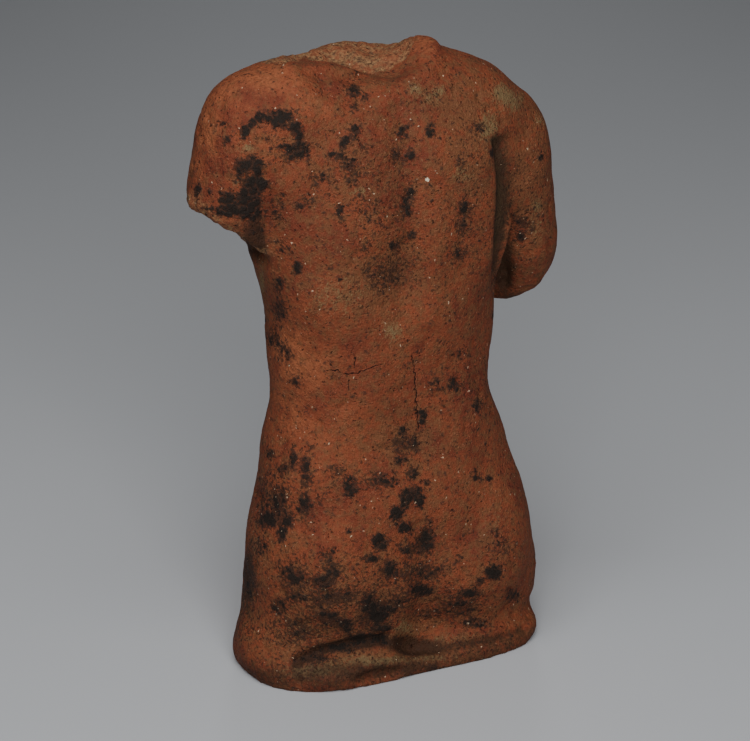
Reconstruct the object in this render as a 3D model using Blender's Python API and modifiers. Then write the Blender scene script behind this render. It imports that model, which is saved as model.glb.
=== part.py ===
"""A terracotta votive torso: the nude back of a standing figure, broken at neck, arms and thighs.

It is one piece of fired clay, so it is one solid. A trunk is lofted from sections, the masses of
the figure are joined to it as a modeller lays on clay, the joins are smoothed, and then the
breaks are cut. The figure faces -Y, its own left is +X, and it stands on its underside at z 0.
"""
import math

import bmesh
import bpy
import numpy as np
from mathutils import Matrix, Vector, noise

HEIGHT = 0.142  # underside to the highest point of the broken neck
UNIT = HEIGHT / 142  # the figure's proportions are counted in 142nds of its height

# The trunk's sections, in units: height, half width, depth behind and in front of the section's
# own centre, that centre's place to the figure's left (x) and back (y), and its roundness, where
# 2 is an ellipse and more is squarer.
TRUNK = [
    ("below the underside", -8, 34.4, 19.6, 18.5, 0.0, 0.0, 3.1),
    ("underside", 0, 34.6, 19.9, 19.0, 0.0, 0.0, 3.1),
    ("roll of cloth", 3.5, 36.5, 20.5, 20.5, -0.1, 0.0, 3.0),
    ("above the roll", 7.5, 34.9, 16.8, 19.0, -1.1, 0.0, 2.8),
    ("hips", 20, 34.6, 19.2, 18.0, -2.2, 0.0, 2.8),
    ("loins", 34, 32.6, 19.0, 17.5, -0.9, 0.0, 2.6),
    ("belly", 48, 29.6, 17.2, 16.8, 0.5, 0.0, 2.4),
    ("waist", 64, 25.8, 15.5, 15.0, 0.4, 0.0, 2.3),
    ("lower ribs", 80, 26.5, 16.3, 16.0, 0.9, 0.0, 2.4),
    ("ribs", 94, 28.3, 17.3, 17.0, 0.8, 0.0, 2.7),
    ("armpits", 106, 29.7, 17.5, 17.8, 0.4, 0.0, 3.0),
    ("shoulder blades", 116, 30.0, 17.0, 18.2, 0.0, 0.0, 3.0),
    ("shoulders", 124, 28.0, 15.6, 17.0, 0.0, -0.5, 2.7),
    ("collar", 131, 22.0, 13.0, 13.0, 0.6, -1.0, 2.4),
    ("neck", 137, 14.0, 10.6, 9.5, 0.6, -1.5, 2.0),
    ("above the neck break", 142.5, 12.5, 9.6, 8.5, 0.0, -2.0, 2.0),
]
RINGS = 84
RING_POINTS = 72
UNEVENNESS = 0.35  # units that the hand-pressed surface swells and sinks by

# The furrow of the spine, which deepens into the cleft below: height, place to the figure's
# left, depth and width, in units.
SPINE = [
    (-8, -3.0, 0.0, 5.0),
    (2, -3.5, 1.0, 6.0),
    (8, -3.5, 5.0, 4.5),
    (20, -2.4, 3.2, 3.6),
    (30, -1.8, 1.4, 4.0),
    (42, -0.8, 0.5, 5.0),
    (60, 0.3, 0.7, 6.0),
    (80, 2.0, 0.8, 6.0),
    (100, 3.2, 1.7, 5.0),
    (118, 3.2, 1.9, 5.0),
    (133, 2.0, 0.0, 5.0),
    (142.5, 2.0, 0.0, 5.0),
]

# The line down the front, between the breasts and between the thighs, told in the same way.
FRONT_LINE = [
    (-8, -0.5, 3.0, 4.0),
    (8, -0.5, 2.6, 4.0),
    (20, -0.5, 0.0, 4.0),
    (70, 0.0, 0.4, 4.0),
    (84, 0.0, 0.8, 4.0),
    (104, 0.0, 0.8, 4.0),
    (122, 0.0, 0.0, 4.0),
    (142.5, 0.0, 0.0, 4.0),
]

# Masses laid on the trunk as ellipsoids, in units: centre and radii.
MASSES = {
    "left_buttock": ((15.2, 2.0, 26.0), (18.2, 18.2, 24.0)),
    "right_buttock": ((-17.8, 2.0, 24.0), (17.2, 18.2, 23.0)),
    "left_shoulder": ((31.2, -1.0, 122.0), (12.4, 12.4, 17.5)),
    "right_shoulder": ((-30.5, -2.0, 111.0), (11.5, 11.5, 18.0)),
    "behind_the_left_shoulder": ((25.0, 2.0, 118.0), (9.0, 11.0, 13.0)),
    "beside_the_spine": ((-5.0, 8.0, 104.0), (8.0, 9.7, 26.0)),
    "left_breast": ((12.8, -9.5, 104.0), (12.0, 12.0, 12.5)),
    "right_breast": ((-12.4, -9.5, 102.5), (12.0, 12.0, 12.5)),
    "belly": ((0.0, -3.0, 44.0), (25.0, 16.5, 34.0)),
    "left_thigh": ((16.0, -3.0, 6.0), (17.0, 17.0, 32.0)),
    "right_thigh": ((-17.5, -3.0, 6.0), (17.0, 17.0, 32.0)),
}

# Round forms carried along a line: its points and the radius there, in units.
LIMBS = {
    "shoulder_girdle": [
        ((34, -2, 120), 10.5),
        ((27, -2, 125.5), 14.0),
        ((14, -2, 126.5), 15.0),
        ((-9, -2, 125.5), 14.8),
        ((-21, -2, 121.5), 14.0),
        ((-30.5, -2, 115), 10.5),
    ],
    "left_arm": [((32.5, -1, 124), 11.0), ((35.0, -2, 112), 10.5), ((36.4, -3, 98), 9.6)],
    "right_arm": [
        ((-30.8, -2, 114), 10.3),
        ((-34.3, -3, 98), 10.0),
        ((-35.3, -5, 87), 9.5),
        ((-33.5, -14, 84), 8.5),
        ((-29.0, -24, 87), 7.5),
    ],
}
LIMB_SIDES = 6  # bevel resolution

VOXEL = 1.1 * UNIT
SMOOTH_ROUNDS = 22
FACES_KEPT = 0.13

# The breaks, in units: a point on each, the way it faces, half the width of the tool, how rough
# the face is and how far its left and right edges rise.
BREAKS = {
    "neck_break": dict(at=(4, -1, 136.0), facing=(0.08, 0.24, 1.0), reach=17, rough=1.8, dish=4.5),
    "left_arm_break": dict(at=(39.5, -2, 107.3), facing=(0.62, 0.0, -0.78), reach=14, rough=1.6, dish=0.0),
    "forearm_break": dict(at=(-31, -20, 86), facing=(0.3, -0.9, 0.2), reach=11, rough=1.6, dish=0.0),
}
BREAK_STEPS = 22
BREAK_GRAIN = 9  # units across the larger swellings of a break
GROUND_CUT = 120


def clear_scene():
    for old in list(bpy.data.objects):
        bpy.data.objects.remove(old)


def collection(name):
    made = bpy.data.collections.new(name)
    bpy.context.scene.collection.children.link(made)
    return made


def move_to(obj, home):
    for old in list(obj.users_collection):
        old.objects.unlink(obj)
    home.objects.link(obj)


def helper(obj, home):
    """Marks an object as a tool of the modeller: it is drawn as wire and is no part of the figure."""
    obj.hide_render = True
    obj.display_type = "WIRE"
    move_to(obj, home)
    return obj


def smooth_curve(heights, values, at):
    """Values at the given heights, on a cubic through the stations that doesn't overshoot them."""
    heights, values = np.asarray(heights, float), np.asarray(values, float)
    steps = np.diff(values) / np.diff(heights)
    slopes = np.zeros(len(values))
    same_way = steps[:-1] * steps[1:] > 0
    mean = np.where(same_way, 2 * steps[:-1] * steps[1:] / np.where(same_way, steps[:-1] + steps[1:], 1), 0)
    slopes[1:-1] = mean
    slopes[0], slopes[-1] = steps[0], steps[-1]
    low = np.clip(np.searchsorted(heights, at) - 1, 0, len(heights) - 2)
    span = heights[low + 1] - heights[low]
    t = (at - heights[low]) / span
    return (
        (2 * t**3 - 3 * t**2 + 1) * values[low]
        + (t**3 - 2 * t**2 + t) * span * slopes[low]
        + (-2 * t**3 + 3 * t**2) * values[low + 1]
        + (t**3 - t**2) * span * slopes[low + 1]
    )


def furrow_depth(line, x, z):
    """How deep a furrow is at the places x of the rings at the heights z."""
    stations = np.array(line, float)
    place, depth, width = (smooth_curve(stations[:, 0], stations[:, column], z)[:, None] for column in (1, 2, 3))
    return depth * np.exp(-(((x - place) / width) ** 2))


def trunk_points():
    """Rings of points: superellipse sections at even heights, with the furrows pressed in."""
    stations = np.array([row[1:] for row in TRUNK], float)
    z = np.linspace(stations[0, 0], stations[-1, 0], RINGS)
    half, back, front, centre_x, centre_y, roundness = (
        smooth_curve(stations[:, 0], stations[:, column], z)[:, None] for column in range(1, 7)
    )
    angle = np.linspace(0, 2 * math.pi, RING_POINTS, endpoint=False)[None, :]
    across = np.sign(np.cos(angle)) * np.abs(np.cos(angle)) ** (2 / roundness)
    deep = np.sign(np.sin(angle)) * np.abs(np.sin(angle)) ** (2 / roundness)
    x = centre_x + half * across
    y = centre_y + np.where(deep > 0, back, front) * deep
    y = y - furrow_depth(SPINE, x, z) * np.clip(deep, 0, 1)
    y = y + furrow_depth(FRONT_LINE, x, z) * np.clip(-deep, 0, 1)
    height = z[:, None]
    swell = np.sin(3 * angle + 0.13 * height) + np.sin(5 * angle - 0.19 * height + 2)
    swell = swell + np.sin(2 * angle + 0.31 * height + 4)
    x = x + UNEVENNESS * swell * np.cos(angle)
    y = y + UNEVENNESS * swell * np.sin(angle)
    return np.stack([x, y, np.broadcast_to(z[:, None], x.shape)], axis=-1)


def make_trunk(home):
    """The trunk, a loft through unlike sections, closed by a face at each end."""
    points = trunk_points()
    rings, around = points.shape[:2]
    mesh = bmesh.new()
    verts = [mesh.verts.new(point) for point in (points * UNIT).reshape(-1, 3)]
    for ring in range(rings - 1):
        for step in range(around):
            after = (step + 1) % around
            lower, upper = ring * around, (ring + 1) * around
            mesh.faces.new((verts[lower + step], verts[lower + after], verts[upper + after], verts[upper + step]))
    mesh.faces.new(verts[around - 1 :: -1])
    mesh.faces.new(verts[-around:])
    data = bpy.data.meshes.new("torso")
    mesh.to_mesh(data)
    mesh.free()
    trunk = bpy.data.objects.new("torso", data)
    home.objects.link(trunk)
    return trunk


def make_mass(name, centre, radii, home):
    bpy.ops.mesh.primitive_uv_sphere_add(segments=32, ring_count=16, radius=1)
    mass = bpy.context.object
    mass.name = name
    shape = Matrix.Translation(Vector(centre) * UNIT) @ Matrix.Diagonal((*(Vector(radii) * UNIT), 1))
    mass.data.transform(shape)
    return helper(mass, home)


def make_limb(name, bone, home):
    """A tube along the bone, its radius changing from point to point, turned into a closed mesh."""
    data = bpy.data.curves.new(name, "CURVE")
    data.dimensions = "3D"
    data.bevel_depth = UNIT
    data.bevel_resolution = LIMB_SIDES
    data.use_fill_caps = True
    data.resolution_u = 6
    line = data.splines.new("BEZIER")
    line.bezier_points.add(len(bone) - 1)
    for point, (place, radius) in zip(line.bezier_points, bone):
        point.co = Vector(place) * UNIT
        point.radius = radius
        point.handle_left_type = point.handle_right_type = "AUTO"
    tube = bpy.data.objects.new(name + "_curve", data)
    home.objects.link(tube)
    bpy.context.view_layer.update()
    solid = bpy.data.meshes.new_from_object(tube.evaluated_get(bpy.context.evaluated_depsgraph_get()))
    bpy.data.objects.remove(tube)
    mesh = bmesh.new()
    mesh.from_mesh(solid)
    bmesh.ops.remove_doubles(mesh, verts=mesh.verts, dist=0.01 * UNIT)
    bmesh.ops.recalc_face_normals(mesh, faces=mesh.faces)
    mesh.to_mesh(solid)
    mesh.free()
    arm = bpy.data.objects.new(name, solid)
    home.objects.link(arm)
    return helper(arm, home)


def make_break(name, at, facing, reach, rough, dish, home):
    """A block whose inner face is an uneven, slightly dished fracture."""
    bpy.ops.mesh.primitive_grid_add(x_subdivisions=BREAK_STEPS, y_subdivisions=BREAK_STEPS, size=2)
    tool = bpy.context.object
    tool.name = name
    seat = Matrix.Translation(Vector(at) * UNIT) @ Vector(facing).to_track_quat("Z", "Y").to_matrix().to_4x4()
    seed = Vector(at)
    for vertex in tool.data.vertices:
        flat = vertex.co.to_2d().to_3d() * reach
        rise = rough * noise.fractal(flat / BREAK_GRAIN + seed, 0.8, 2.0, 3)
        rise += dish * vertex.co.x**2
        vertex.co = (flat + Vector((0, 0, rise))) * UNIT
    tool.data.transform(seat)
    wall = tool.modifiers.new("block", "SOLIDIFY")
    wall.thickness = reach * UNIT
    wall.offset = 1
    return helper(tool, home)


def make_ground(home):
    """The block that cuts the underside flat."""
    bpy.ops.mesh.primitive_cube_add(size=GROUND_CUT * UNIT, location=(0, 0, -GROUND_CUT * UNIT / 2))
    ground = bpy.context.object
    ground.name = "ground"
    return helper(ground, home)


def boolean(obj, operation, tool, solver="EXACT"):
    cut = obj.modifiers.new(tool.name, "BOOLEAN")
    cut.operation = operation
    cut.object = tool
    cut.solver = solver


def terracotta():
    """Low-fired red clay, matt and mottled."""
    made = bpy.data.materials.new("terracotta")
    made.use_nodes = True
    shader = made.node_tree.nodes["Principled BSDF"]
    shader.inputs["Base Color"].default_value = (0.24, 0.07, 0.033, 1)
    shader.inputs["Roughness"].default_value = 0.8
    made.diffuse_color = (0.24, 0.07, 0.033, 1)
    return made


def build():
    clear_scene()
    figure = collection("votive torso")
    tools = collection("modelling tools")
    torso = make_trunk(figure)
    torso.data.materials.append(terracotta())
    masses = [make_mass(name, *form, tools) for name, form in MASSES.items()]
    limbs = [make_limb(name, bone, tools) for name, bone in LIMBS.items()]
    for mass in masses:
        boolean(torso, "UNION", mass)
    # The exact solver loses the figure on the tubes and the uneven breaks, so those use the manifold one.
    for limb in limbs:
        boolean(torso, "UNION", limb, "MANIFOLD")
    skin = torso.modifiers.new("one skin", "REMESH")
    skin.mode = "VOXEL"
    skin.voxel_size = VOXEL
    worn = torso.modifiers.new("joins smoothed", "SMOOTH")
    worn.factor = 0.5
    worn.iterations = SMOOTH_ROUNDS
    for name, shape in BREAKS.items():
        boolean(torso, "DIFFERENCE", make_break(name, home=tools, **shape), "MANIFOLD")
    worn_skin = torso.modifiers.new("one skin with its breaks", "REMESH")
    worn_skin.mode = "VOXEL"
    worn_skin.voxel_size = VOXEL
    lighter = torso.modifiers.new("fewer faces", "DECIMATE")
    lighter.ratio = FACES_KEPT
    boolean(torso, "DIFFERENCE", make_ground(tools))


build()
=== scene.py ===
"""The looks of a terracotta votive torso: its fired clay, stained and broken, with a floor and light."""
import math

import bmesh
import bpy
import numpy as np
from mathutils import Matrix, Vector


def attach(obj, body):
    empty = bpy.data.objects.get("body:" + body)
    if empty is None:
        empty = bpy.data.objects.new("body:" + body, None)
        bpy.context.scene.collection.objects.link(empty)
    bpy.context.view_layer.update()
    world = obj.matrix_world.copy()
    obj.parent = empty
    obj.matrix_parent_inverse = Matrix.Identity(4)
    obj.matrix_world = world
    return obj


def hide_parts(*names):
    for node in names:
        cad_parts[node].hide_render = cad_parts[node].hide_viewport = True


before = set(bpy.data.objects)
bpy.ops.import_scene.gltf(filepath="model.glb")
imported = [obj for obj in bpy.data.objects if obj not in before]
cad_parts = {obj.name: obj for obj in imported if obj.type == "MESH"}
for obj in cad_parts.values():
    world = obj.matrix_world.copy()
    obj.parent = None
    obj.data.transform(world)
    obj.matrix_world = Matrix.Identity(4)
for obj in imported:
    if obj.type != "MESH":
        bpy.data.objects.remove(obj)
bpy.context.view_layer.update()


# The camera: a long lens behind the torso's left shoulder, looking a little down on it.
MM = 0.001
VIEW_AZIMUTH = math.radians(153)
VIEW_ELEVATION = math.radians(20)
VIEW_DISTANCE = 0.75
PHOTO_WIDTH = 750
PHOTO_HEIGHT = 741
PIXELS_PER_MM = 4.49  # at the point looked at
POINT_LOOKED_AT = Vector((0, 0, 0.0705))
PIXEL_LOOKED_AT = (383, 354)
SENSOR = 36  # millimetres wide

towards_camera = Vector((
    math.sin(VIEW_AZIMUTH) * math.cos(VIEW_ELEVATION),
    -math.cos(VIEW_AZIMUTH) * math.cos(VIEW_ELEVATION),
    math.sin(VIEW_ELEVATION),
))
lens = bpy.data.cameras.new("camera")
lens.sensor_width = SENSOR
lens.sensor_fit = "HORIZONTAL"
lens.lens = SENSOR * VIEW_DISTANCE / (PHOTO_WIDTH / PIXELS_PER_MM * MM)
lens.shift_x = (PHOTO_WIDTH / 2 - PIXEL_LOOKED_AT[0]) / PHOTO_WIDTH
lens.shift_y = (PIXEL_LOOKED_AT[1] - PHOTO_HEIGHT / 2) / PHOTO_WIDTH
camera = bpy.data.objects.new("camera", lens)
bpy.context.scene.collection.objects.link(camera)
camera.location = POINT_LOOKED_AT + towards_camera * VIEW_DISTANCE
camera.rotation_euler = towards_camera.to_track_quat("Z", "Y").to_euler()
bpy.context.scene.camera = camera


# The torso: one lump of red clay, pressed and smoothed by hand, fired low and long buried. Its skin
# is worn and pitted, and it is broken at the neck, the left arm and the right forearm.
# Lengths in this section are in millimetres.
SEAM_GAP = 0.001  # loose faces whose corners are this near share them
SKIN_GRAIN = 0.7
EASING_ROUNDS = 6
EASING_STRENGTH = 0.5


def fine_skin(node):
    """A copy of the node's mesh, its loose faces joined, with an even skin fine enough for pits."""
    rough_mesh = node.data.copy()
    loose = bmesh.new()
    loose.from_mesh(rough_mesh)
    bmesh.ops.remove_doubles(loose, verts=loose.verts, dist=SEAM_GAP * MM)
    loose.to_mesh(rough_mesh)
    loose.free()
    draft = bpy.data.objects.new("draft", rough_mesh)
    bpy.context.scene.collection.objects.link(draft)
    skin = draft.modifiers.new("even skin", "REMESH")
    skin.mode = "VOXEL"
    skin.voxel_size = SKIN_GRAIN * MM
    skin.use_smooth_shade = True
    eased = draft.modifiers.new("facets eased", "SMOOTH")
    eased.factor = EASING_STRENGTH
    eased.iterations = EASING_ROUNDS
    bpy.context.view_layer.update()
    made = bpy.data.meshes.new_from_object(draft.evaluated_get(bpy.context.evaluated_depsgraph_get()))
    bpy.data.objects.remove(draft)
    made.materials.clear()
    return made


def read_vectors(source, name):
    """The vectors of a mesh's vertices as an array of rows."""
    values = np.empty(len(source) * 3)
    source.foreach_get(name, values)
    return values.reshape(-1, 3)


def ramp(value, low, high):
    """A smooth step: 0 at low, 1 at high, and 3t² - 2t³ of the way t between them."""
    t = np.clip((value - low) / (high - low), 0, 1)
    return t * t * (3 - 2 * t)


# Large odd numbers, whose products with small whole numbers have last bits that look like chance.
CORNER_FACTORS = (73856093, 19349663, 83492791)
SEED_FACTOR = 29765421
MIXING_FACTOR = 1274126177
LOW_32_BITS = 0xFFFFFFFF
LOW_16_BITS = 0xFFFF


def lattice_noise(points, size, seed):
    """Smooth noise from -1 to 1: chance values at the corners of cells of that size, blended by a smooth
    step along each axis. A value is the last bits of a product of the corner's whole numbers."""
    cell = np.floor(points / size).astype(np.int64)
    part = points / size - cell
    part = part * part * (3 - 2 * part)
    total = np.zeros(len(points))
    for corner in np.ndindex(2, 2, 2):
        at = cell + corner
        mixed = np.bitwise_xor.reduce(at * CORNER_FACTORS, axis=1) ^ seed * SEED_FACTOR
        mixed = (mixed ^ mixed >> 13) * MIXING_FACTOR & LOW_32_BITS
        chance = 2 * ((mixed ^ mixed >> 16) & LOW_16_BITS) / LOW_16_BITS - 1
        total += chance * np.prod(np.where(corner, part, 1 - part), axis=1)
    return total


def roughness_of(points, size, seed, octaves=4, gain=0.5):
    """Noise of several sizes: each octave is half as wide and gain times as strong as the one before."""
    octave = np.arange(octaves)
    strength = gain**octave
    layers = [lattice_noise(points, size / 2**n, seed + n) * strength[n] for n in octave]
    return np.sum(layers, axis=0) / strength.sum()


def stretched(points, across, along):
    """The points with Z squeezed, so that noise on them runs in streaks up and down."""
    return points / np.array([across, across, along])


mesh = fine_skin(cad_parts["torso"])
skin = read_vectors(mesh.vertices, "co") / MM
outward = read_vectors(mesh.vertices, "normal")
x, y, z = skin.T

# Marks are told by where the photograph shows them, as a column and a row of its pixels. Seen from the
# camera, a point lies right of and above the point looked at in proportion to its offset, and nearer
# points more so.
view_right = np.array([math.cos(VIEW_AZIMUTH), math.sin(VIEW_AZIMUTH), 0])
view_back = np.array(towards_camera)
view_up = np.cross(view_back, view_right)
offset = skin - np.array(POINT_LOOKED_AT) / MM
nearness = 1 / (1 - offset @ view_back / (VIEW_DISTANCE / MM))
column = PIXEL_LOOKED_AT[0] + offset @ view_right * nearness * PIXELS_PER_MM
row = PIXEL_LOOKED_AT[1] - offset @ view_up * nearness * PIXELS_PER_MM
in_view = ramp(outward @ view_back, 0.0, 0.2)


def spot(at_column, at_row, half_width, half_height, turn=0, flat=1):
    """A spot of 1 in its middle that fades as the bell curve of the distance in half widths; flat raises
    the squared distance to a power, for a fuller middle and a sharper rim. A turn lifts its right end."""
    turn = math.radians(turn)
    right, up = column - at_column, at_row - row
    along = right * math.cos(turn) + up * math.sin(turn)
    aside = up * math.cos(turn) - right * math.sin(turn)
    return np.exp(-(((along / half_width) ** 2 + (aside / half_height) ** 2) ** flat)) * in_view


def spots(table, flat=1):
    """The sum of a table of spots, each told by its column, row, half width, half height and strength."""
    return np.sum([spot(*place, flat=flat) * strength for *place, strength in table], axis=0)


def lump(centre, reach):
    """A soft round lump, from 1 at its centre: the bell curve of the distance in units of its reach."""
    return np.exp(-np.sum(((skin - centre) / reach) ** 2, axis=1))


def beside(value, at, line, half_width):
    """The bell curve of the distance from a line, told as pairs of a place along it and the value there.
    It fades out within a few pixels of both ends."""
    fade = 8
    along, level = np.array(line, float).T
    ends = ramp(at, along[0], along[0] + fade) * (1 - ramp(at, along[-1] - fade, along[-1]))
    return np.exp(-(((value - np.interp(at, along, level)) / half_width) ** 2)) * ends * in_view


# The breaks are rough where the clay parted: told by a point on each, the way it faces and its reach.
BREAKS = {
    "neck": ((4.0, -1.0, 136.4), (0.08, 0.24, 1.0), 21.0),
    "left arm": ((39.5, -2.0, 107.3), (0.62, 0.0, -0.78), 15.0),
    "right forearm": ((-31.0, -20.0, 86.0), (0.3, -0.9, 0.2), 12.0),
}
BREAK_RIM = 2


def on_break(centre, facing, reach):
    """1 on the face of a break and 0 off it: near its plane, near its centre and facing its way."""
    facing = np.array(facing) / np.linalg.norm(facing)
    gap = skin - centre
    rise = gap @ facing
    aside = np.linalg.norm(gap - rise[:, None] * facing, axis=1)
    close = 1 - ramp(np.abs(rise), 3.5, 5.5)
    return close * (1 - ramp(aside, reach - BREAK_RIM, reach)) * ramp(outward @ facing, 0.35, 0.7)


# Behind, the neck's break ends at a ragged edge that the photograph shows, and it is worn smoother near
# its middle. A line is told as pairs of a column and a row.
NECK_EDGE = [
    (270, 62),
    (285, 66),
    (300, 62),
    (320, 61),
    (345, 68),
    (362, 75),
    (388, 72),
    (405, 62),
    (414, 44),
    (420, 30),
]
RAGGEDNESS = 9
breaks = {name: on_break(*shape) for name, shape in BREAKS.items()}
edge_row = np.interp(column, *np.array(NECK_EDGE, float).T) + RAGGEDNESS * roughness_of(skin, 3.2, 91, 3)
near_neck = ramp(z, 133, 135) * (1 - ramp(np.abs(x - 8), 18, 21))
above_edge = ramp(edge_row - row, -1.5, 1.5) * near_neck * ramp(outward[:, 2], 0.1, 0.4)
behind = ramp(y, -11, -7)
worn_smooth = 0.4 * spot(392, 60, 16, 12, flat=1.5)
breaks["neck"] = (behind * above_edge + (1 - behind) * breaks["neck"]) * (1 - worn_smooth)
broken = np.max(list(breaks.values()), axis=0)

# What the modeller's fingers and the soil did to the skin, as heights along its normals.
hand_pressed = 0.25 * roughness_of(skin, 15, 1, 2)
worn = 0.20 * roughness_of(skin, 3.6, 5, 3)
grain = 0.07 * lattice_noise(skin, 1.5, 11)
pitted = -0.4 * ramp(roughness_of(skin, 2.6, 21, 2), 0.38, 0.60)
crumbled = broken * (0.6 * roughness_of(skin, 4.0, 31, 3) + 0.35 * lattice_noise(skin, 1.6, 37) - 0.3)
streaks = 0.25 * spot(270, 610, 45, 70) * roughness_of(stretched(skin, 1.0, 6.0), 1.6, 41, 2)
elbow_chips = -1.0 * ramp(roughness_of(skin, 3.5, 45, 2), -0.1, 0.5) * lump((-33, -4, 80), (9, 14, 6))

# Lumps and dents, each with its centre, its reach and how far it rises.
LUMPS = [
    # the lips of the neck
    ((7, -13, 138), (8, 4, 5), 2.2),
    ((-9, -2, 140), (4, 6, 4), 0.9),
    ((2.5, -9, 138), (4.5, 5, 3), 1.2),
    # the roll along the bottom
    ((37, -2, 8.5), (6, 8, 3.6), 1.9),
    ((-32, 11, 7), (5, 6, 2.2), -1.3),
    ((-32, 11, 2.5), (4, 6, 2), 0.5),
    ((22, 18, 3), (5, 5, 2.2), 0.9),
    # the outer edge of the left arm's break
    ((44, -3, 108.5), (3.5, 6, 3), 1.6),
]
lumps = np.sum([rise * lump(centre, reach) for centre, reach, rise in LUMPS], axis=0)

# The lip along the back of the neck, the fold under the buttocks and the crease right of it, the hollow
# between the thighs, the furrow of the spine, the groove beside the right arm, and the chip in the
# middle of the roll, which flows in long waves near the fold. The spine and the groove run down, so each
# is told as pairs of a row and a column.
FOLD = [(288, 664), (310, 655), (330, 649), (350, 644), (370, 641), (392, 637)]
RIGHT_CREASE = [(428, 650), (460, 645), (500, 637), (530, 626)]
SPINE = [(100, 396), (140, 402), (180, 407), (230, 409), (280, 405), (330, 400)]
ARM_GROOVE = [
    (132, 501),
    (150, 504),
    (180, 508),
    (200, 508),
    (220, 506),
    (240, 505),
    (260, 504),
    (296, 503),
]
fold = beside(row, column, FOLD, 5.0)
above_fold = beside(row + 9, column, FOLD, 6.0)
right_crease = beside(row, column, RIGHT_CREASE, 4.0)
groove = beside(column, row, ARM_GROOVE, 8.0)
spine = beside(column, row, SPINE, 11.0)
spine_side = beside(column - 29, row, SPINE, 13.0)
flow = roughness_of(stretched(skin, 7.0, 1.0), 1.3, 51, 3)
near_fold = spot(360, 650, 85, 16)
chip = spot(379, 676, 25, 8, turn=12, flat=3)
hollow = spot(414, 645, 19, 8, turn=-4)
back_lip = 1.5 * spot(318, 82, 36, 12, flat=1.5) + 1.8 * spot(322, 74, 42, 8, turn=-9, flat=1.5)
back_lip = back_lip + 1.5 * spot(357, 88, 30, 10, flat=1.5)
folded = 0.4 * above_fold + 0.5 * near_fold * flow - (1.1 + 0.6 * flow) * fold - 0.7 * right_crease
furrowed = 0.4 * spine_side - 0.55 * spine - 2.6 * groove
shaped = lumps + back_lip + folded + furrowed - 1.8 * chip - 2.8 * hollow
height = hand_pressed + worn + grain + pitted + crumbled + streaks + elbow_chips + shaped

# The underside stays level, because the torso rests on it.
resting = ramp(-outward[:, 2], 0.5, 0.9) * (1 - ramp(z, 0.5, 2))
moved = skin + outward * (height * (1 - resting))[:, None]
moved[:, 2] = np.maximum(moved[:, 2], 0)
mesh.vertices.foreach_set("co", (moved * MM).ravel())
mesh.update()

torso = bpy.data.objects.new("torso_clay", mesh)
bpy.context.scene.collection.objects.link(torso)
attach(torso, "root")
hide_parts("torso")

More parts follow.
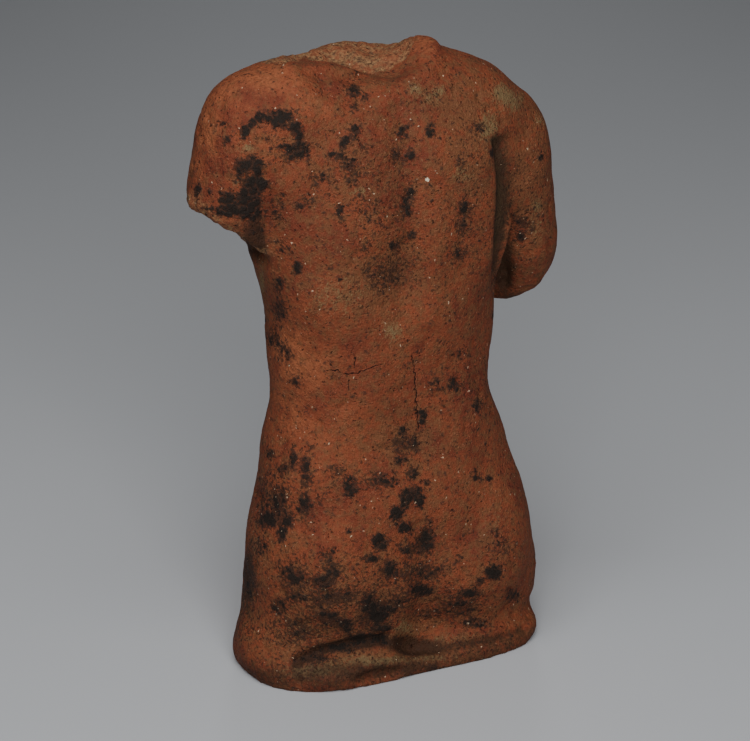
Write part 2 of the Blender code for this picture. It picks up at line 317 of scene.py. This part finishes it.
# Black crusts that soil water left. Each row of this table and the ones below is a spot: its column and
# row in the photograph, its half width and half height in pixels, and its strength.
STAINS = [
    # a hook over the left shoulder blade
    (245, 132, 5, 7, 1.1),
    (252, 123, 4.5, 5, 1.0),
    (260, 117, 7, 4.5, 1.1),
    (279, 117, 13, 8, 1.4),
    (279, 125, 5, 4, 0.9),
    (294, 127, 8, 5, 1.0),
    (299, 135, 5, 6, 1.2),
    (301, 149, 8, 8, 1.3),
    (290, 153, 8, 9, 0.9),
    (266, 136, 4, 5, 0.55),
    (282, 146, 12, 1.8, 0.6),
    # from there to the left armpit
    (253, 163, 11, 7, 1.1),
    (241, 169, 8, 8, 0.9),
    (258, 174, 5, 7, 0.9),
    (251, 184, 10, 7, 1.3),
    (263, 185, 6, 5.5, 1.2),
    (248, 199, 12, 12, 1.4),
    (228, 199, 9, 8, 1.0),
    (229, 210, 16, 6, 1.3),
    (249, 212, 11, 7, 1.3),
    (239, 187, 4, 4, -0.7),
    (258, 228, 7, 12, 0.45),
    # the outer side of the left arm
    (198, 190, 4.5, 6, 1.0),
    (210, 193, 2, 3.5, 0.9),
    (208, 208, 8, 2, 0.7),
    (222, 124, 4, 3, 0.6),
    (227, 140, 5, 4, 0.6),
    # left of the spine
    (355, 131, 6, 8, 0.85),
    (347, 139, 6, 5, 0.8),
    (342, 146, 5, 4, 0.75),
    (336, 155, 9, 4, 0.8),
    (353, 95, 8, 3.5, 0.8),
    (364, 99, 5, 2.5, 0.75),
    (354, 107, 5, 3.5, 0.7),
    (354, 80, 5, 7, 0.55),
    (349, 162, 9, 6, 0.6),
    (367, 147, 8, 5, 0.45),
    (354, 174, 9, 7, 0.45),
    (318, 176, 12, 8, 0.45),
    (311, 201, 9, 4.5, 0.55),
    (300, 208, 7, 5, 0.6),
    (339, 210, 4.5, 6, 1.0),
    (341, 220, 3, 4, 0.7),
    (278, 210, 9, 14, 0.42),
    (284, 249, 8, 6, 0.5),
    # on the spine and right of it
    (402, 131, 7, 7, 0.75),
    (430, 131, 5, 7.5, 1.3),
    (396, 156, 6, 6, 1.05),
    (411, 154, 5, 5, 1.0),
    (411, 194, 5, 7, 0.9),
    (407, 210, 5.5, 10, 0.95),
    (411, 236, 5, 5, 0.8),
    (395, 246, 6, 5, 0.85),
    (364, 247, 5, 4, 0.65),
    (460, 163, 5, 5, 0.5),
    (465, 208, 6, 9, 0.75),
    (463, 227, 7, 6, 0.7),
    (458, 253, 8, 8, 0.65),
    (479, 127, 7, 6, 0.65),
    (493, 152, 3.5, 5, 1.1),
    (370, 215, 18, 22, 0.3),
    (385, 275, 22, 18, 0.36),
    # the right arm
    (521, 237, 4.5, 4.5, 1.15),
    (521, 222, 9, 7, 0.6),
    (541, 158, 3, 3, 0.9),
    # down the left flank
    (298, 268, 5.5, 6.5, 1.1),
    (279, 285, 6, 8, 0.7),
    (281, 309, 7, 11, 0.7),
    (274, 338, 6, 9, 0.65),
    (286, 352, 8, 10, 0.6),
    (296, 381, 7, 6, 0.8),
    # the small of the back
    (340, 278, 4, 2.5, 0.8),
    (423, 413, 4, 5, 1.1),
    (423, 423, 4, 4, 1.0),
    (402, 430, 5, 5, 0.7),
    (401, 442, 11, 7, 0.62),
    (414, 444, 5, 8, 0.85),
    (400, 459, 6, 6, 0.6),
    (413, 473, 6.5, 6, 1.0),
    (427, 482, 5, 4, 0.8),
    (454, 384, 7, 8, 0.7),
    (478, 405, 5, 9, 0.65),
    (460, 352, 9, 7, 0.55),
    (435, 386, 8, 10, 0.4),
    (477, 475, 6, 6, 0.75),
    (489, 478, 4, 4, 0.85),
    # a broken ring above the cleft, and drops below it
    (413, 492, 8, 6, 1.4),
    (420, 500, 5, 7, 1.3),
    (405, 501, 6, 8, 1.3),
    (396, 514, 6, 8, 1.5),
    (405, 527, 7, 6, 1.3),
    (412, 513, 5, 4, -0.6),
    (380, 542, 7, 8, 1.4),
    (370, 558, 9, 4, 1.1),
    (389, 568, 5, 9, 1.3),
    (426, 542, 10, 11, 0.95),
    (408, 549, 12, 6, 0.65),
    (429, 524, 6, 9, 0.5),
    (422, 591, 11, 5.5, 1.2),
    (409, 574, 24, 14, 0.42),
    (432, 571, 14, 9, 0.5),
    # above the left buttock
    (378, 480, 11, 8, 0.62),
    (392, 484, 7, 6, 0.5),
    (350, 482, 9, 8, 0.62),
    (352, 493, 9, 6, 0.6),
    (337, 470, 8, 6, 0.6),
    (348, 531, 3, 4, 0.9),
    (321, 499, 5, 5, 0.5),
    # the left hip, dark to its edge
    (265, 495, 9, 28, 0.4),
    (268, 520, 11, 9, 0.8),
    (281, 500, 9, 16, 0.75),
    (282, 470, 8, 6, 0.75),
    (270, 454, 4, 6, 0.7),
    (293, 457, 4, 11, 0.8),
    (306, 466, 7, 10, 0.72),
    (311, 447, 7, 7, 0.5),
    (306, 482, 7, 7, 0.75),
    (304, 506, 7, 12, 0.95),
    (289, 521, 6, 7, 1.0),
    (282, 534, 5, 10, 0.95),
    (260, 546, 8, 10, 0.5),
    (248, 582, 7, 24, 0.55),
    # the left buttock, mottled all over
    (290, 572, 15, 11, 0.5),
    (298, 581, 13, 8, 0.5),
    (322, 582, 10, 7, 0.8),
    (334, 570, 9, 10, 0.75),
    (326, 556, 9, 7, 0.5),
    (295, 597, 9, 6, 0.7),
    (279, 607, 9, 9, 0.6),
    (321, 600, 14, 9, 0.58),
    (344, 596, 12, 8, 0.6),
    (369, 603, 9, 10, 0.9),
    (380, 613, 11, 7, 0.85),
    (396, 602, 12, 9, 0.55),
    (346, 625, 8, 6, 0.95),
    (330, 620, 9, 8, 0.65),
    (372, 618, 14, 10, 0.6),
    (384, 628, 13, 5, 0.9),
    (298, 630, 14, 12, 0.5),
    (326, 616, 12, 5, 0.7),
    (359, 636, 13, 6, 0.7),
    (372, 640, 24, 5, 0.95),
    (340, 648, 24, 4.5, 0.9),
    (314, 659, 16, 5, 0.85),
    (429, 614, 14, 6, 0.5),
    # the right buttock
    (493, 572, 8, 7, 1.4),
    (471, 592, 9, 4.5, 1.05),
    (512, 596, 8, 7, 0.65),
    (480, 582, 5, 5, 0.65),
    (461, 606, 18, 14, 0.52),
    (475, 623, 13, 5, 0.7),
    (458, 559, 5, 5, 0.6),
    (500, 545, 18, 20, 0.3),
    (432, 668, 8, 4, 0.8),
]
clustered = roughness_of(skin, 4.5, 75, 3) + 0.9 * roughness_of(skin, 24, 71, 2)
elsewhere = ramp(clustered, 0.30, 0.75) * (1 - in_view)
stain = np.clip(1.1 * spots(STAINS, flat=1.3) + elsewhere, 0, 1.05)

# Buff soil that stays in the hollows.
SOIL = [
    (246, 148, 12, 6, 0.8),
    (236, 184, 6, 5, 0.7),
    (415, 88, 10, 8, 0.8),
    (440, 90, 7, 6, 0.85),
    (430, 100, 12, 8, 0.6),
    (488, 128, 13, 20, 0.85),
    (500, 92, 10, 10, 0.9),
    (514, 102, 12, 14, 0.8),
    (540, 120, 7, 10, 0.7),
    (537, 205, 10, 10, 0.65),
    (536, 230, 9, 16, 0.6),
    (462, 175, 14, 14, 0.6),
    (393, 332, 14, 12, 0.8),
    (355, 290, 30, 32, 0.42),
    (262, 282, 3, 22, 0.9),
    (272, 440, 5, 20, 0.4),
    (320, 300, 26, 28, 0.36),
    (357, 192, 16, 7, 0.6),
    (315, 671, 40, 9, 0.9),
    (372, 661, 32, 7, 0.8),
    (405, 628, 14, 11, 0.75),
    (425, 658, 36, 6, 0.7),
    (505, 215, 7, 50, 0.6),
    (255, 545, 5, 20, 0.6),
    (495, 520, 12, 28, 0.4),
    (450, 640, 30, 8, 0.5),
]
soil = spots(SOIL) + 0.45 * ramp(roughness_of(skin, 16, 81, 3), 0.1, 0.6) * (1 - in_view)
soil = np.clip(soil + 0.5 * groove, 0, 1.2) + 0.5 * near_fold * flow

# Brown grime and painted shade in recesses and near the ground: the hollow between the thighs, the folds
# and creases, the groove beside the right arm, the left armpit, and a darkening towards the bottom.
GRIME_AND_SHADE = [
    (414, 645, 22, 8, 1.7),
    (300, 672, 70, 14, 0.55),
    (380, 668, 60, 12, 0.55),
    (485, 642, 55, 18, 0.35),
    (242, 620, 14, 30, 0.3),
    (248, 570, 9, 34, 0.9),
    (330, 600, 60, 26, 0.3),
    (350, 644, 45, 6, 0.9),
    (430, 610, 45, 16, 0.35),
    (520, 270, 26, 24, 0.45),
    (255, 240, 12, 20, 1.5),
    (230, 228, 26, 9, 0.45),
    (503, 225, 6, 50, 0.9),
    (512, 297, 18, 5, 0.8),
    (200, 207, 14, 5, 0.4),
    (400, 200, 14, 60, 0.35),
    (430, 555, 30, 30, 0.3),
]
# The groove, the fold and the crease are darkened with painted shade, added to the grime.
crease_grime_and_shade = np.max([1.2 * groove, fold, 0.4 * right_crease], axis=0)
grime_and_shade = np.clip(spots(GRIME_AND_SHADE) + crease_grime_and_shade + 0.4 * (1 - ramp(z, 1, 7)), 0, 1.3)

# Where the skin is a cleaner orange, with a painted highlight on the left shoulder; a deeper red, with
# painted shade along the spine and under the left shoulder blade;
# where it is speckled with crumbs of the crusts; and where brown dust dulls it.
# Cleaner orange, and a painted highlight over the top of the left shoulder, where the light falls
# brightest.
ORANGE_AND_HIGHLIGHT = [
    (255, 88, 38, 20, 1.0),
    (215, 140, 20, 50, 0.6),
    (300, 400, 30, 40, 0.5),
    (345, 530, 40, 32, 0.2),
    (425, 45, 14, 16, 0.8),
    (245, 660, 20, 20, 0.5),
    (280, 350, 34, 50, 0.45),
]
# Deeper red, partly painted shade: the furrow of the spine, the dip beside the neck, the upper back and
# under the left shoulder blade.
DEEP_AND_SHADE = [
    (400, 170, 14, 70, 1.0),
    (330, 90, 20, 14, 0.5),
    (440, 105, 34, 22, 0.9),
    (355, 150, 50, 30, 0.4),
    (365, 380, 30, 24, 0.6),
    (470, 330, 26, 70, 0.5),
    (475, 470, 26, 60, 0.3),
    (375, 135, 40, 40, 0.8),
    (305, 220, 34, 50, 0.8),
    (350, 515, 28, 18, 0.5),
    (435, 220, 14, 40, 0.35),
]
SPECKLED = [
    (325, 590, 62, 42, 0.8),
    (390, 600, 40, 25, 0.55),
    (300, 635, 50, 20, 0.9),
    (465, 600, 52, 28, 0.6),
    (420, 555, 45, 30, 0.4),
    (360, 482, 42, 16, 0.7),
    (285, 490, 32, 50, 0.45),
    (345, 175, 40, 45, 0.6),
    (405, 190, 18, 70, 0.5),
    (465, 225, 24, 45, 0.7),
    (470, 150, 22, 34, 0.6),
    (428, 95, 26, 14, 0.6),
    (525, 215, 24, 50, 0.7),
    (385, 270, 45, 32, 0.7),
    (250, 190, 28, 34, 0.6),
    (280, 140, 24, 18, 0.4),
    (225, 135, 16, 18, 0.4),
    (410, 450, 26, 34, 0.6),
    (470, 385, 30, 26, 0.5),
    (350, 372, 34, 14, 0.4),
    (278, 320, 14, 60, 0.35),
    (354, 95, 16, 18, 0.6),
    (290, 682, 62, 18, 0.7),
    (400, 664, 70, 16, 0.6),
    (480, 645, 40, 16, 0.5),
    (245, 590, 16, 60, 0.8),
]
DUSTY = [
    (470, 150, 26, 60, 0.9),
    (440, 100, 40, 20, 0.7),
    (530, 180, 24, 90, 0.7),
    (385, 280, 60, 36, 0.8),
    (350, 180, 50, 40, 0.4),
    (262, 300, 10, 60, 0.9),
    (405, 440, 40, 30, 0.6),
    (330, 600, 80, 40, 0.5),
    (400, 655, 120, 26, 0.8),
    (480, 560, 40, 60, 0.3),
]
marks = {
    "stain": stain,
    "soil": soil,
    "broken": broken,
    "grime_and_shade": grime_and_shade,
    "orange_and_highlight": np.clip(spots(ORANGE_AND_HIGHLIGHT), 0, 1),
    "deep": np.clip(spots(DEEP_AND_SHADE), 0, 1),
    "speckled": np.clip(spots(SPECKLED) + ramp(clustered, -0.1, 0.6) * (1 - in_view), 0, 1.2),
    "dusty": np.clip(spots(DUSTY) + 0.15 * (1 - in_view), 0, 1),
}
for label, values in marks.items():
    layer = mesh.attributes.new(label, "FLOAT", "POINT")
    layer.data.foreach_set("value", values.astype(np.float32))


# Low-fired terracotta, hand-smoothed and buried: matt brick red that turns browner where soil stained it,
# with pale grit, black crusts in speckled patches, and a coarse sandy brown where it is broken.
# Painted shade darkens its hollows, its bottom, the spine and under the left shoulder blade, and a painted
# highlight lightens the left shoulder.
clay = bpy.data.materials.new("low_fired_terracotta")
clay.use_nodes = True
shader = clay.node_tree.nodes["Principled BSDF"]
CLAY_GLOSS = 0.2
CLAY_ROUGHNESS = 0.82
RELIEF_DEPTH = 0.4
shader.inputs["Specular IOR Level"].default_value = CLAY_GLOSS
shader.inputs["Roughness"].default_value = CLAY_ROUGHNESS


def linear(sheet_hex):
    """An sRGB colour, written as hex, as linear red, green, blue and alpha."""
    parts = np.array([int(sheet_hex[i : i + 2], 16) for i in (1, 3, 5)]) / 255
    light = np.where(parts <= 0.04045, parts / 12.92, ((parts + 0.055) / 1.055) ** 2.4)
    return (*light.tolist(), 1.0)


def add_node(kind, *inputs, **settings):
    """Adds a node to the clay, with its settings, and gives its outputs in use. The inputs fill its sockets
    in use from the first one on: another node's output is linked, and any other value is set."""
    made = clay.node_tree.nodes.new("ShaderNode" + kind)
    for name, value in settings.items():
        setattr(made, name, value)
    for socket, value in zip([socket for socket in made.inputs if socket.enabled], inputs):
        if isinstance(value, bpy.types.NodeSocket):
            clay.node_tree.links.new(value, socket)
        else:
            socket.default_value = value
    return [socket for socket in made.outputs if socket.enabled]


def weighted(first, *terms):
    """A value and others times their weights, added up: weighted(a, (b, 2), (c, -1)) is a + 2b - c."""
    total = first
    for value, weight in terms:
        total = add_node("Math", value, weight, total, operation="MULTIPLY_ADD")[0]
    return total


def rising(value, low, high, most=1.0):
    """0 where a value is at low, most where it is at high, and smooth between."""
    return add_node("MapRange", value, low, high, 0.0, most, interpolation_type="SMOOTHSTEP")[0]


def laid_on(under, over, share):
    """A colour with another laid on it, as thick as a share from 0 to 1."""
    return add_node("Mix", share, under, over, data_type="RGBA")[0]


def cells_of(points, size_mm):
    """A pattern of cells: the distance from each cell's middle, in cells, and a chance number per cell."""
    distance, tint, _ = add_node("TexVoronoi", points, 1 / size_mm)
    return distance, add_node("SeparateColor", tint)[0]


def dots(points, spacing_mm, radius_mm, share):
    """Scattered dots of all sizes up to a radius, 1 inside: only cells whose chance number is in the upper
    share have a dot, which is the bigger the higher the number."""
    distance, chance = cells_of(points, spacing_mm)
    widest = radius_mm / spacing_mm
    inside = weighted(widest - widest / share, (chance, widest / share), (distance, -1.0))
    return rising(inside, -0.02, 0.05)


def crack(across, along, line, half_width_mm):
    """A hair crack on the back: 1 where a point is nearer than its half width to the line, told as pairs:
    the place along it and the place across there. It runs out at both ends."""
    taper = 0.8
    line = np.array(line, float)
    first, last = line[0, 0], line[-1, 0]
    lowest, highest = line[:, 1].min() - 1, line[:, 1].max() + 1
    level = add_node("FloatCurve", 1.0, add_node("MapRange", along, first, last)[0])[0]
    bends = level.node.mapping.curves[0].points
    for index, (place_along, place_across) in enumerate(line):
        where = ((place_along - first) / (last - first), (place_across - lowest) / (highest - lowest))
        bend = bends[index] if index < 2 else bends.new(*where)
        bend.location = where
        bend.handle_type = "VECTOR"
    level.node.mapping.update()
    beyond = weighted(across, (level, lowest - highest), (lowest, -1.0))
    gap = add_node("Math", beyond, operation="ABSOLUTE")[0]
    near = rising(gap, half_width_mm * 1.4, half_width_mm * 0.6)
    ends = weighted(0.0, (rising(along, first, first + taper), rising(along, last, last - taper)))
    return weighted(0.0, (near, ends))


BRICK_RED = linear("#753B24")
ORANGE_RED = linear("#874E31")
DEEP_RED = linear("#5E2A1B")
DUSTY_BROWN = linear("#624128")
SAND = linear("#876443")
SAND_DARK = linear("#4A3224")
BUFF = linear("#6B5A3C")
SPECKLE_DARK = linear("#2B1B11")
FLECK_OLIVE = linear("#7D6240")
CRUST_BROWN = linear("#3A251C")
CRUST_BLACK = linear("#14120E")
GRIME_AND_SHADE_BROWN = linear("#2A1B10")
DARK_GRAIN = linear("#4A2317")
PALE_GRAIN = linear("#95684B")
PIT_DARK = linear("#32170F")
GRIT_PALE = linear("#BFA588")
CHIP_WHITE = linear("#C6BAA2")
CRACK_DARK = linear("#200E09")

# Patterns are told in millimetres of the object, and some are shaken by a fine noise to ragged edges.
# A noise takes its place, one over the size of its clouds, how many octaves it has and how rough it is.
SHAKEN_BY = 1.4
in_metres = add_node("TexCoord")[3]  # the Object coordinates
place = add_node("Mapping", in_metres, (0, 0, 0), (0, 0, 0), (1 / MM,) * 3)[0]
tremble = add_node("TexNoise", place, 1 / 0.9, 2.0)[1]  # its colour: three numbers around a half
tremble = add_node("VectorMath", tremble, (0.5,) * 3, operation="SUBTRACT")[0]
shaken = add_node("VectorMath", tremble, (SHAKEN_BY,) * 3, place, operation="MULTIPLY_ADD")[0]
layers = {label: add_node("Attribute", attribute_name=label)[2] for label in marks}

# The clay's colour: clouds of red and orange, a finer mottle of brown dust, and a coarse grain, with
# painted shade in its deeper red and a painted highlight in its orange.
clouds = add_node("TexNoise", place, 1 / 9, 4.0, 0.6)[0]
mottle = add_node("TexNoise", place, 1 / 2.2, 5.0, 0.7)[0]
fine = add_node("TexNoise", place, 1 / 0.75, 3.0, 0.65)[0]
sandy = add_node("TexNoise", shaken, 1 / 0.45, 2.0, 0.6)[0]
colour = laid_on(DEEP_RED, BRICK_RED, rising(clouds, 0.28, 0.56))
# Deeper red where its layer says, partly painted shade along the spine and under the left shoulder blade.
colour = laid_on(colour, DEEP_RED, weighted(0.0, (layers["deep"], 0.75)))
# Cleaner orange from the clouds and its layer, with the painted highlight on the left shoulder.
warm_and_lit = weighted(clouds, (layers["orange_and_highlight"], 0.35), (layers["dusty"], -0.2))
colour = laid_on(colour, ORANGE_RED, rising(warm_and_lit, 0.54, 0.90, 0.9))
dusted = weighted(mottle, (layers["orange_and_highlight"], -0.12), (layers["dusty"], 0.14))
colour = laid_on(colour, DUSTY_BROWN, rising(dusted, 0.42, 0.64, 0.75))
colour = laid_on(colour, DARK_GRAIN, rising(fine, 0.48, 0.64, 0.4))
colour = laid_on(colour, PALE_GRAIN, rising(sandy, 0.60, 0.76, 0.4))

# Broken faces show the coarse inside of the clay, with soil among its grains.
grains = add_node("TexNoise", shaken, 1 / 0.7, 4.0, 0.7)[0]
inside = laid_on(SAND_DARK, SAND, rising(grains, 0.36, 0.62))
inside = laid_on(inside, BRICK_RED, rising(mottle, 0.40, 0.60, 0.65))
colour = laid_on(colour, inside, rising(weighted(layers["broken"], (mottle, 0.8)), 0.72, 1.12))

# Soil, and grime with painted shade, have ragged edges: each shows where its own density and fine noises
# pass a limit.
earthy = add_node("TexNoise", shaken, 1 / 0.9, 5.0, 0.8)[0]
soil_here = weighted(layers["soil"], (earthy, 3.0))
colour = laid_on(colour, BUFF, rising(soil_here, 1.85, 2.50, 0.85))
# Brown grime and painted shade in the creases, the hollows and near the ground.
grime_and_shade_here = weighted(layers["grime_and_shade"], (mottle, 0.8), (fine, 0.8))
colour = laid_on(colour, GRIME_AND_SHADE_BROWN, rising(grime_and_shade_here, 0.95, 1.85, 0.85))

# Where the crusts have worn thin, or never closed, dark and olive crumbs of them are left side by side.
crumby = weighted(0.0, (layers["stain"], 0.20), (layers["speckled"], 0.11))
dark_grit = add_node("TexNoise", shaken, 1 / 0.6, 3.0, 0.6)[0]
dark_crumbs = rising(weighted(crumby, (dark_grit, 1.0)), 0.61, 0.68, 0.85)
colour = laid_on(colour, SPECKLE_DARK, dark_crumbs)
olive_grit = add_node("TexNoise", shaken, 1 / 0.5, 2.0, 0.6)[0]
olive_here = weighted(crumby, (layers["stain"], -0.26), (layers["speckled"], 0.14), (olive_grit, 1.6))

# The black crusts grew as small round lobes: each cell of a pattern is one, with a chance of its own.
LOBE_SIZE = 1.35
distance, chance = cells_of(shaken, LOBE_SIZE)
crumbs = add_node("TexNoise", shaken, 1 / 0.8, 4.0, 0.75)[0]
stain_here = weighted(layers["stain"], (chance, 0.6), (distance, -1.0), (crumbs, 2.4))
colour = laid_on(colour, CRUST_BROWN, rising(stain_here, 1.38, 1.62, 0.6))
black_shows = rising(stain_here, 1.66, 1.90, 0.85)
colour = laid_on(colour, CRUST_BLACK, black_shows)
colour = laid_on(colour, FLECK_OLIVE, rising(olive_here, 1.18, 1.32, 0.42))

# Small dark pits, pale grit that the wear laid bare, and one white chip right of the spine.
pits = dots(shaken, spacing_mm=1.0, radius_mm=0.30, share=0.45)
colour = laid_on(colour, PIT_DARK, weighted(0.0, (pits, 0.6)))
grit = dots(shaken, spacing_mm=1.3, radius_mm=0.22, share=0.38)
colour = laid_on(colour, GRIT_PALE, weighted(0.0, (grit, 0.7)))
WHITE_CHIP = (-2.2, 16.4, 115.4)
from_chip = add_node("VectorMath", shaken, WHITE_CHIP, operation="DISTANCE")[0]
colour = laid_on(colour, CHIP_WHITE, rising(from_chip, 0.60, 0.30))

# Hair cracks in the small of the back: one long and upright, and a star with two short arms.
to_left, to_back, up = add_node("SeparateXYZ", shaken)
LONG_CRACK = [(57.3, -1.2), (61.9, -0.7), (66.2, -0.4), (71.3, 0.0), (76.0, 0.9)]
STAR_CRACK = [(7.9, 74.5), (10.0, 74.3), (12.6, 73.4), (15.4, 72.8), (17.6, 73.8), (20.3, 73.5)]
STAR_ARMS = [[(74.2, 14.2), (78.0, 14.4)], [(68.7, 15.5), (72.1, 15.4)]]
star = [crack(up, to_left, STAR_CRACK, half_width_mm=0.10)]
star = star + [crack(to_left, up, arm, half_width_mm=0.08) for arm in STAR_ARMS]
cracked = crack(to_left, up, LONG_CRACK, half_width_mm=0.14)
for next_crack in star:
    cracked = add_node("Math", cracked, next_crack, operation="MAXIMUM")[0]
cracked = weighted(0.0, (cracked, rising(to_back, 0, 2)))
colour = laid_on(colour, CRACK_DARK, weighted(0.0, (cracked, 0.9)))
clay.node_tree.links.new(colour, shader.inputs["Base Color"])

# Fine relief that is too small for the mesh: the grain and the small pits, crusts and their crumbs, which
# stand proud, and the cracks.
relief = weighted(sandy, (fine, 1.0), (pits, -0.5), (black_shows, 0.4), (cracked, -0.8))
relief = weighted(relief, (dark_crumbs, 0.3))
bump = add_node("Bump", 1.0, RELIEF_DEPTH * MM, 1.0, relief)[0]
clay.node_tree.links.new(bump, shader.inputs["Normal"])
mesh.materials.append(clay)


# The floor: a wide, level sheet of matt grey paper.
FLOOR_WIDTH = 6
PAPER_ROUGHNESS = 0.9
paper = bpy.data.materials.new("grey_backdrop_paper")
paper.use_nodes = True
paper_shader = paper.node_tree.nodes["Principled BSDF"]
paper_shader.inputs["Base Color"].default_value = linear("#B0B2B5")
paper_shader.inputs["Roughness"].default_value = PAPER_ROUGHNESS
bpy.ops.mesh.primitive_plane_add(size=FLOOR_WIDTH)
floor = bpy.context.object
floor.name = "floor"
floor.data.materials.append(paper)


# The light: a soft box overhead, one on the camera's side that fills the shadows, a low narrow one far
# behind the torso for the side turned away from the camera, and a dim even room.
TO_VIEWER = Vector((towards_camera.x, towards_camera.y, 0)).normalized()
IMAGE_LEFT = Vector((-math.cos(VIEW_AZIMUTH), -math.sin(VIEW_AZIMUTH), 0))
ROOM_STRENGTH = 0.16


def soft_box(name, nearer, left, up, size, watts, spread=180):
    """A square area light that faces the torso, placed in metres from the floor under it: nearer to the
    viewer, to the image's left, and up. A grid on it narrows its beam to the spread in degrees."""
    place = TO_VIEWER * nearer + IMAGE_LEFT * left + Vector((0, 0, up))
    light = bpy.data.lights.new(name, "AREA")
    light.size = size
    light.energy = watts
    light.spread = math.radians(spread)
    box = bpy.data.objects.new(name, light)
    bpy.context.scene.collection.objects.link(box)
    box.location = place
    box.rotation_euler = (place - POINT_LOOKED_AT).to_track_quat("Z", "Y").to_euler()
    return box


soft_box("overhead_light", nearer=0.28, left=0.05, up=0.52, size=0.40, watts=2.35)
soft_box("front_light", nearer=0.80, left=-0.06, up=0.40, size=0.50, watts=5.4)
far_light = soft_box("far_light", nearer=-1.6, left=0, up=0.12, size=0.30, watts=0.65, spread=30)
far_light.visible_glossy = False
room = bpy.data.worlds.new("room")
bpy.context.scene.world = room
room.use_nodes = True
room.node_tree.nodes["Background"].inputs["Color"].default_value = linear("#BFC1C4")
room.node_tree.nodes["Background"].inputs["Strength"].default_value = ROOM_STRENGTH
